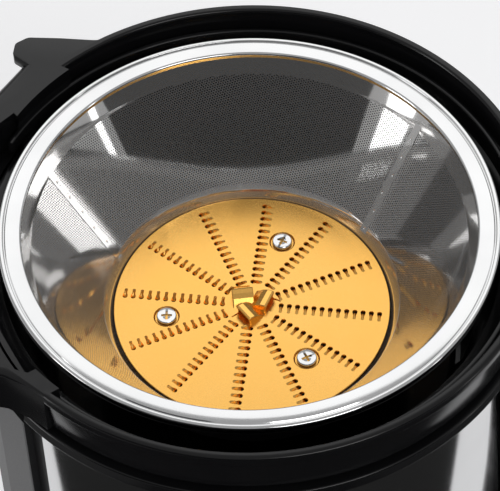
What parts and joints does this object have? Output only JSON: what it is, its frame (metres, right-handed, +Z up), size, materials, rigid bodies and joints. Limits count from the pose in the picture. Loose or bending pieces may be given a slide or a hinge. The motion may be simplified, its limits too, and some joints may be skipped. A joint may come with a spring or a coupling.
{
  "type": "centrifugal juicer",
  "caption": "Centrifugal juicer without its lid: motor base, juice bowl with rear pulp chute and front spout, conical filter basket with a grating disc.",
  "frame": {"origin": "on the bench, under the spin axis of the basket", "axes": "+Z up along the spin axis, +X to the front (spout and knob), -X to the rear (pulp chute)"},
  "size_m": [0.216, 0.164, 0.2384],
  "materials": {
    "gloss_black": "moulded gloss black ABS",
    "satin_black": "satin black moulded plastic",
    "white_plastic": "off-white food-safe plastic",
    "rubber": "soft black rubber",
    "polished_steel": "polished stainless steel",
    "filter_steel": "perforated stainless steel foil",
    "gold_coated_steel": "gold-coloured titanium coating on stainless steel",
    "cast_alloy": "die-cast aluminium",
    "machined_steel": "plain steel",
    "copper_winding": "enamelled copper",
    "brass": "pressed brass",
    "carbon": "carbon"
  },
  "bodies": {
    "base": {"top_trim_near": "gloss_black", "top_trim_far": "gloss_black", "front_column": "gloss_black", "base_shell": "satin_black", "bottom_plate": "satin_black", "speed_switch": "satin_black", "interlock_switch": "satin_black", "foot_1": "rubber", "foot_2": "rubber", "foot_3": "rubber", "foot_4": "rubber", "cord_grommet": "rubber", "motor_mount_1": "rubber", "motor_mount_2": "rubber", "motor_mount_3": "rubber", "shaft_seal": "rubber", "side_panel_near": "polished_steel", "side_panel_far": "polished_steel", "motor_bracket_upper": "cast_alloy", "motor_bracket_lower": "cast_alloy", "stator_core": "machined_steel", "bearing_upper": "machined_steel", "bearing_lower": "machined_steel", "base_screw_1": "machined_steel", "base_screw_2": "machined_steel", "base_screw_3": "machined_steel", "base_screw_4": "machined_steel", "field_coil_1": "copper_winding", "field_coil_2": "copper_winding", "brush_holder_1": "brass", "brush_holder_2": "brass", "carbon_brush_1": "carbon", "carbon_brush_2": "carbon"},
    "drive": {"motor_shaft": "machined_steel", "armature_core": "machined_steel", "armature_winding": "copper_winding", "commutator": "copper_winding", "cooling_fan": "satin_black", "drive_coupling": "satin_black"},
    "basket": {"basket_rim": "polished_steel", "filter_cone": "filter_steel", "basket_base": "satin_black", "drive_hub": "satin_black", "grating_disc": "gold_coated_steel", "disc_screw_1": "polished_steel", "disc_screw_2": "polished_steel", "disc_screw_3": "polished_steel"},
    "bowl": {"juice_bowl": "gloss_black", "juice_spout": "gloss_black"},
    "knob": {"speed_knob": "gloss_black", "switch_spindle": "machined_steel"},
    "pin": {"interlock_pin": "white_plastic"}
  },
  "joints": [
    {"name": "motor_spin", "type": "hinge", "parent": "base", "child": "drive", "pos_m": [0, 0, 0.1], "axis": [0, 0, -1], "continuous": true},
    {"name": "basket_lift", "type": "slide", "parent": "drive", "child": "basket", "axis": [0, 0, 1], "range_m": [0, 0.16]},
    {"name": "bowl_lift", "type": "slide", "parent": "base", "child": "bowl", "axis": [0, 0, 1], "range_m": [0, 0.08]},
    {"name": "speed_turn", "type": "hinge", "parent": "base", "child": "knob", "pos_m": [0.09, 0, 0.11], "axis": [1, 0, 0], "range_deg": [-45, 90]},
    {"name": "interlock_press", "type": "slide", "parent": "base", "child": "pin", "axis": [0, 0, -1], "range_m": [0, 0.002], "stiffness_N_per_m": 200}
  ],
  "couplings": [
    {"joint": "basket_lift", "follows": "bowl_lift", "ratio": 2}
  ]
}
